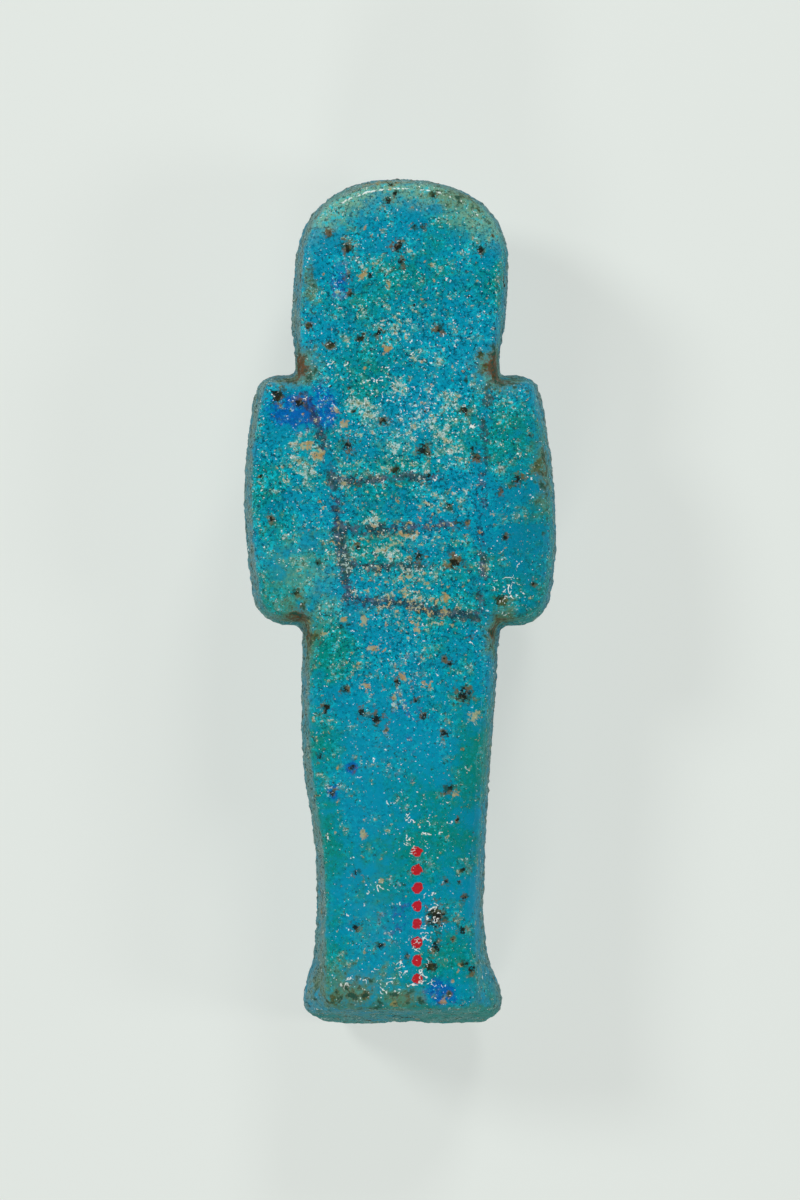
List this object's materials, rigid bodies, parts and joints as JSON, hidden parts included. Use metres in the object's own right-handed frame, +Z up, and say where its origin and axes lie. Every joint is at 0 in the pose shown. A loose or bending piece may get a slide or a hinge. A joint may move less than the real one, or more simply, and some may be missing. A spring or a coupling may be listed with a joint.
{
  "type": "ushabti figurine",
  "caption": "Mummy-shaped tomb figurine of blue glazed faience, with a tripartite wig, crossed arms, joined legs and a flat back, lying face down.",
  "frame": {"origin": "under the middle of the figure's box, on the surface that the figure lies on", "axes": "+Y runs along the figure from the sole to the crown, +Z up out of the flat back, +X to the right as seen from the back"},
  "size_m": [0.0386, 0.1046, 0.025],
  "materials": {
    "faience": "glossy, rough-grained turquoise glaze with pits and sandy bare spots"
  },
  "bodies": {
    "root": {"figurine": "faience"}
  },
  "joints": []
}
